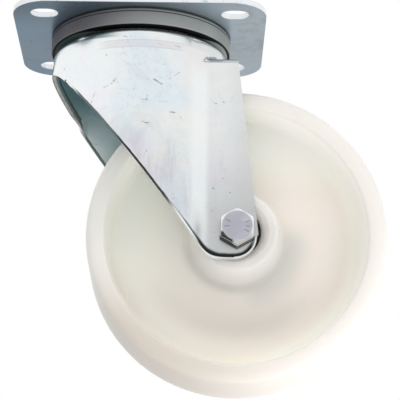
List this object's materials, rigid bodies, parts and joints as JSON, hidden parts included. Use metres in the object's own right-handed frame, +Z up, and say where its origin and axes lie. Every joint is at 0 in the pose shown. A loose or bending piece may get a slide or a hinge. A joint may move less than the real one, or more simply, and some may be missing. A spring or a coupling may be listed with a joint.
{
  "type": "swivel castor",
  "caption": "Swivel castor with a slotted top plate, grey bearing seal, pressed zinc-plated fork, bolted axle and solid white nylon wheel on a roller bearing.",
  "frame": {"origin": "on the plate's top face, where the swivel axis meets it and at the centre of the four slots", "axes": "+Z up out of the plate's top face along the swivel axis; +X the way the wheel trails at rest, along the plate's long side; +Y along the axle, towards its nut"},
  "size_m": [0.2015, 0.112, 0.201],
  "materials": {
    "zinc_sheet": "bright zinc plate with faint blue and violet passivation",
    "bolt_steel": "zinc-plated bolt steel, smooth",
    "bearing_steel": "ground and greased bearing steel",
    "grey_plastic": "plain moulded grey",
    "white_nylon": "satin ivory-white nylon, turned and slightly translucent",
    "black_plastic": "moulded black cage",
    "insert_nylon": "locking ring in the nut"
  },
  "bodies": {
    "plate": {"top_plate": "zinc_sheet", "upper_race_ring": "bearing_steel", "seal_ring": "grey_plastic", "lower_race_cup": "zinc_sheet", "kingpin_bolt": "bolt_steel", "kingpin_nut": "bolt_steel"},
    "upper_balls": {"upper_ball_set": "bearing_steel"},
    "lower_balls": {"lower_ball_set": "bearing_steel"},
    "fork": {"fork": "zinc_sheet", "axle_bolt": "bolt_steel", "axle_washer": "bolt_steel", "axle_nut": "bolt_steel", "nut_insert": "insert_nylon", "axle_tube": "bearing_steel"},
    "wheel": {"wheel": "white_nylon"},
    "roller_bearing": {"roller_cage": "black_plastic", "roller_01": "bearing_steel", "roller_02": "bearing_steel", "roller_03": "bearing_steel", "roller_04": "bearing_steel", "roller_05": "bearing_steel", "roller_06": "bearing_steel", "roller_07": "bearing_steel", "roller_08": "bearing_steel", "roller_09": "bearing_steel", "roller_10": "bearing_steel", "roller_11": "bearing_steel", "roller_12": "bearing_steel"}
  },
  "joints": [
    {"name": "swivel", "type": "hinge", "parent": "plate", "child": "fork", "pos_m": [0, 0, 0], "axis": [0, 0, 1], "continuous": true},
    {"name": "wheel_spin", "type": "hinge", "parent": "fork", "child": "wheel", "pos_m": [0.053, 0, -0.121], "axis": [0, 1, 0], "continuous": true},
    {"name": "upper_ball_orbit", "type": "hinge", "parent": "plate", "child": "upper_balls", "pos_m": [0, 0, 0], "axis": [0, 0, 1], "continuous": true},
    {"name": "lower_ball_orbit", "type": "hinge", "parent": "plate", "child": "lower_balls", "pos_m": [0, 0, 0], "axis": [0, 0, 1], "continuous": true},
    {"name": "roller_orbit", "type": "hinge", "parent": "fork", "child": "roller_bearing", "pos_m": [0.053, 0, -0.121], "axis": [0, 1, 0], "continuous": true}
  ],
  "couplings": [
    {"joint": "upper_ball_orbit", "follows": "swivel", "ratio": 0.5},
    {"joint": "lower_ball_orbit", "follows": "swivel", "ratio": 0.5},
    {"joint": "roller_orbit", "follows": "wheel_spin", "ratio": 0.58864}
  ]
}
